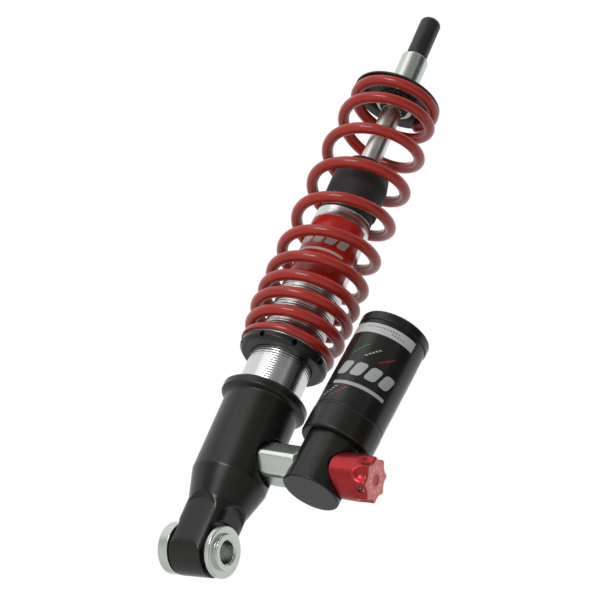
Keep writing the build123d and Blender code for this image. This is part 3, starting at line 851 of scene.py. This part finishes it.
turned("thrust_washer_turned", rounded([
    (collar_bore + 0.5, collar_rim_top, 0.2), (washer_radius, collar_rim_top, 0.3),
    (washer_radius, washer_top, 0.3), (collar_bore + 0.5, washer_top, 0.2)]),
    "spring_seat", ["thrust_washer"], "plain_steel", segments=192)

collar_outline = rounded([
    (collar_bore, collar_bottom, 0.4), (collar_bottom_radius, collar_bottom, 0.6),
    (collar_radius, collar_rim_bottom, 0.8), (collar_radius, collar_rim_top, 0.6),
    (collar_bore, collar_rim_top, 0.4)])


def collar_solid(points):
    x, y, z = points.T
    radius = np.hypot(x, y)
    share = 2 * pi / spanner_holes
    turn = (np.arctan2(y, x) - radians(spanner_hole_start) + share / 2) % share - share / 2
    hole = np.hypot(radius * np.sin(turn), z - (collar_bottom + collar_rim_top) / 2) - spanner_hole_radius
    hole = np.maximum(hole, collar_radius - spanner_hole_depth - radius * np.cos(turn))
    return carve(inside_outline(radius, z, collar_outline), hole, 0.3)


carved("preload_collar_machined", collar_solid, (-collar_radius, -collar_radius, collar_bottom),
       (collar_radius, collar_radius, collar_rim_top), 0.36, "collar", ["preload_collar"], "black_anodised")


# ---------------------------------------------------------------- connector and adjuster body
hexagon_end = reservoir_offset - body_pocket
hexagon_turned = hexagon_flats / 2 + 1.0
hexagon_end_radius = hexagon_turned - hexagon_bevel
hexagon_outline = rounded([
    (past_axis, foot_pocket), (hexagon_end_radius, foot_pocket, 0.3),
    (hexagon_turned, foot_pocket + hexagon_bevel, 0.3), (hexagon_turned, hexagon_end - hexagon_bevel, 0.3),
    (hexagon_end_radius, hexagon_end, 0.3), (past_axis, hexagon_end)])


def connector_solid(points):
    x, y, height = points.T
    radius = np.hypot(x, y)
    solid = inside_outline(radius, height, hexagon_outline)
    corner = hexagon_flats / 2 / cos(radians(30)) - hexagon_corner_cut
    for start, distance in ((30, hexagon_flats / 2), (0, corner)):
        for turn in (0, 60, 120):
            angle = radians(start + turn)
            solid = meet(solid, np.abs(x * cos(angle) + y * sin(angle)) - distance, 0.25)
    past_ends = np.maximum(foot_pocket - foot_spigot - height, height - hexagon_end - body_spigot)
    spigots = np.maximum(radius - spigot_radius, past_ends)
    return carve(np.minimum(solid, spigots), radius - cross_drilling_radius, 0.2)


carved("connector_machined", connector_solid, (-hexagon_turned, -hexagon_turned, foot_pocket - foot_spigot),
       (hexagon_turned, hexagon_turned, hexagon_end + body_spigot), 0.3, "damper_body", ["connector"],
       "zinc_plate", cross)

adjuster_outline = rounded([
    (past_axis, body_bottom), (body_radius, body_bottom, 0.8), (body_radius, body_top, 0.3),
    (base_spigot_radius, body_top), (base_spigot_radius, body_spigot_top, 0.4), (past_axis, body_spigot_top)])
cross_when_standing = standing.inverted() @ cross_at_reservoir
detent_when_standing = cross_when_standing @ Matrix.Translation((detent_radius, 0, 0))


def adjuster_body_solid(points):
    radius, height = about(points, upright)
    solid = inside_outline(radius, height, adjuster_outline)
    from_cross, along_cross = about(points, cross_when_standing)
    solid = carve(solid, np.maximum(from_cross - body_pocket_radius, along_cross + body_pocket), 0.5)
    solid = carve(solid, np.maximum(from_cross - knob_radius - 0.4, knob_base - 0.3 - along_cross), 0.6)
    solid = carve(solid, np.maximum(from_cross - spigot_radius, along_cross + body_pocket - body_spigot), 0.2)
    seat_ends = np.maximum(seat_pocket[0] - along_cross, along_cross - seat_pocket[1])
    solid = carve(solid, np.maximum(from_cross - seat_pocket_radius, seat_ends), 0.1)
    solid = carve(solid, np.maximum(from_cross - knob_bore, -along_cross), 0.1)
    from_detent, along_detent = about(points, detent_when_standing)
    detent_floor = knob_base - detent_hole_depth
    return carve(solid, np.maximum(from_detent - detent_hole_radius, detent_floor - along_detent), 0.1)


carved("adjuster_body_machined", adjuster_body_solid, (-body_radius, -body_radius, body_bottom),
       (body_radius, body_radius, body_spigot_top), 0.5, "damper_body", ["adjuster_body"], "black_anodised",
       standing)


# ---------------------------------------------------------------- adjuster knob
knob_outline = rounded([
    (past_axis, knob_base), (knob_radius, knob_base, 0.9), (knob_radius, knob_face, 1.1),
    (past_axis, knob_face)])


def knob_solid(points):
    x, y, height = points.T
    radius = np.hypot(x, y)
    angle = np.arctan2(y, x) - radians(grub_flute_angle)
    share = 2 * pi / knob_flutes
    turn = (angle + share / 2) % share - share / 2
    flute_end = knob_face - flute_length + flute_radius
    flute = np.sqrt((radius * np.cos(turn) - knob_radius - flute_radius + flute_depth) ** 2
                    + (radius * np.sin(turn)) ** 2 + np.minimum(height - flute_end, 0) ** 2) - flute_radius
    solid = carve(inside_outline(radius, height, knob_outline), flute, 1.1)
    solid = carve(solid, np.maximum(radius - knob_bore, height - knob_face + knob_plug_depth), 0.1)
    solid = carve(solid, np.maximum(radius - knob_bore, knob_face - knob_plug_recess - height), 0.2)
    solid = carve(solid, np.hypot(radius - detent_radius, height - knob_base + 0.7) - detent_hole_radius, 0.1)
    grub_hole = np.hypot(radius * np.sin(angle), height - knob_face + grub_depth) - grub_radius
    grub_hole = np.maximum(grub_hole, knob_bore - radius * np.cos(angle))
    return carve(solid, grub_hole, 0.25)


carved("adjuster_knob_machined", knob_solid, (-knob_radius, -knob_radius, knob_base),
       (knob_radius, knob_radius, knob_face), 0.36, "knob", ["adjuster_knob"], "knob_red", cross_at_reservoir)


# ---------------------------------------------------------------- reservoir
turned("reservoir_base_turned", rounded([
    (base_spigot_radius, body_top, 0.2), (base_radius, body_top, 1.1), (base_radius, base_top, 0.8),
    (reservoir_bore, base_top), (reservoir_bore, base_top + reservoir_insert),
    (base_bore, base_top + reservoir_insert), (base_bore, body_spigot_top),
    (base_spigot_radius, body_spigot_top)]),
    "damper_body", ["reservoir_base"], "black_anodised", standing, segments=192)
turned("reservoir_tube_turned", rounded([
    (reservoir_bore, base_top), (reservoir_radius, base_top, 0.3), (reservoir_radius, reservoir_top, 0.3),
    (reservoir_bore, reservoir_top)]),
    "damper_body", ["reservoir_tube"], "black_anodised", standing, segments=192)
recess_floor = reservoir_cap_top - cap_recess_depth
turned("reservoir_cap_turned", rounded([
    (gas_valve_hole, reservoir_top - reservoir_insert), (reservoir_bore, reservoir_top - reservoir_insert),
    (reservoir_bore, reservoir_top), (base_radius, reservoir_top, 0.5), (base_radius, reservoir_cap_top, 1.4),
    (cap_recess_radius, reservoir_cap_top, 0.5), (cap_recess_radius, recess_floor, 0.4),
    (gas_valve_hole, recess_floor, 0.2)]),
    "damper_body", ["reservoir_cap"], "black_anodised", standing, segments=192)
for name, node, (low, high), arc, slot in (
        ("reservoir_label_wrap", "reservoir_label", side_label, None, "label_dark"),
        ("reservoir_strip_wrap", "reservoir_strip", side_strip, strip_arc, "label_pale")):
    turned(name, rounded([
        (reservoir_radius, low), (reservoir_radius + label_thickness, low, label_edge),
        (reservoir_radius + label_thickness, high, label_edge), (reservoir_radius, high)]),
        "damper_body", [node], slot, standing, segments=192, arc=arc)


def knurled(radius, height, angle):
    """Straight knurling round the outside of the valve's cap."""
    wave = 0.5 - 0.5 * np.cos(valve_cap_ridges * angle)
    return radius - valve_cap_ridge_depth * wave * (radius > valve_cap_radius - 0.3)


turned("gas_valve_cap_knurled", divided(rounded([
    (valve_cap_bore, recess_floor + 0.3), (valve_cap_radius, recess_floor + 0.3, 0.3),
    (valve_cap_radius, recess_floor + 5.6, 0.5), (0.0, recess_floor + 5.6),
    (0.0, recess_floor + 4.4), (valve_cap_bore, recess_floor + 4.4)]),
    0.8, recess_floor, reservoir_cap_top + 2),
    "valve_cap", ["gas_valve_cap"], "black_anodised", standing, segments=168, relief=knurled)


# ---------------------------------------------------------------- camera, light and stage
scene = bpy.context.scene
scene.view_settings.view_transform = "Standard"
camera = bpy.data.objects.new("camera", bpy.data.cameras.new("camera"))
scene.collection.objects.link(camera)
scene.camera = camera
camera.data.lens = camera_lens
camera.data.sensor_width = 36.0
camera.data.clip_start = 0.05
camera.data.clip_end = 20.0
camera.location = camera_place
camera.rotation_mode = "QUATERNION"
facing = (camera_place - camera_aim).to_track_quat("Z", "Y")
camera.rotation_quaternion = facing @ Quaternion((0, 0, 1), radians(camera_roll))
view_right, view_up, view_back = (camera.rotation_quaternion @ Vector(axis)
                                  for axis in ((1, 0, 0), (0, 1, 0), (0, 0, 1)))


def softbox(name, right, above, toward, width, height, power):
    """An area light placed by its direction in the camera's own axes. It faces the object, and its height
    runs up the damper."""
    light = bpy.data.lights.new(name, "AREA")
    light.shape = "RECTANGLE"
    light.size = width
    light.size_y = height
    light.energy = power
    lamp = bpy.data.objects.new(name, light)
    scene.collection.objects.link(lamp)
    offset = view_right * right + view_up * above + view_back * toward
    lamp.location = camera_aim + offset
    z = offset.normalized()
    x = up.cross(z).normalized()
    lamp.rotation_mode = "QUATERNION"
    lamp.rotation_quaternion = Matrix((x, z.cross(x), z)).transposed().to_quaternion()


softbox("left_softbox", -0.6, 1.25, 0.2, 0.7, 1.5, 2.6)
softbox("thin_strip", 1.0, 0.82, 0.73, 0.05, 1.2, 0.12)
softbox("key_softbox", -0.5, 0.88, 1.0, 0.6, 0.5, 9)


def studio_light():
    """A white paper sweep behind the object that fades to a dim room in front of it, with a black flag to the
    right. The camera sees the paper as pure white."""
    world = bpy.data.worlds.new("studio")
    scene.world = world
    world.use_nodes = True
    tree = world.node_tree
    tree.nodes.clear()
    direction = tree.nodes.new("ShaderNodeTexCoord")
    strength = tree.nodes.new("ShaderNodeMath")
    strength.operation = "MULTIPLY"
    flag_side = view_right * 0.95 + view_up * 0.25 + view_back * 0.18
    for factor, toward, change in ((strength.inputs[0], view_back, (-0.12, 0.3, 0.9, 0.25)),
                                   (strength.inputs[1], flag_side, (0.86, 0.97, 1.0, 0.08))):
        likeness = tree.nodes.new("ShaderNodeVectorMath")
        likeness.operation = "DOT_PRODUCT"
        likeness.inputs[1].default_value = toward.normalized()
        fade = tree.nodes.new("ShaderNodeMapRange")
        fade.interpolation_type = "SMOOTHSTEP"
        for key, value in zip(("From Min", "From Max", "To Min", "To Max"), change):
            fade.inputs[key].default_value = value
        tree.links.new(direction.outputs["Generated"], likeness.inputs[0])
        tree.links.new(likeness.outputs["Value"], fade.inputs["Value"])
        tree.links.new(fade.outputs["Result"], factor)
    surround = tree.nodes.new("ShaderNodeBackground")
    surround.inputs["Color"].default_value = (0.97, 0.99, 1.0, 1)
    paper = tree.nodes.new("ShaderNodeBackground")
    paper.inputs["Color"].default_value = (1, 1, 1, 1)
    seen = tree.nodes.new("ShaderNodeLightPath")
    choice = tree.nodes.new("ShaderNodeMixShader")
    result = tree.nodes.new("ShaderNodeOutputWorld")
    for start, end in ((strength.outputs[0], surround.inputs["Strength"]),
                       (seen.outputs["Is Camera Ray"], choice.inputs[0]),
                       (surround.outputs[0], choice.inputs[1]), (paper.outputs[0], choice.inputs[2]),
                       (choice.outputs[0], result.inputs["Surface"])):
        tree.links.new(start, end)


studio_light()

floor_finish = Finish("floor")
floor_finish.set(Base_Color=floor_finish.blend(floor_finish.noise(0.4), (0.8, 0.8, 0.79), (0.84, 0.84, 0.83)),
                 Roughness=0.8)
floor_mesh = bpy.data.meshes.new("floor")
floor_mesh.from_pydata([(-4, -4, 0), (4, -4, 0), (4, 4, 0), (-4, 4, 0)], [], [(0, 1, 2, 3)])
floor_mesh.materials.append(floor_finish.material)
floor = bpy.data.objects.new("floor", floor_mesh)
scene.collection.objects.link(floor)
floor.location = (0, 0, -0.8)
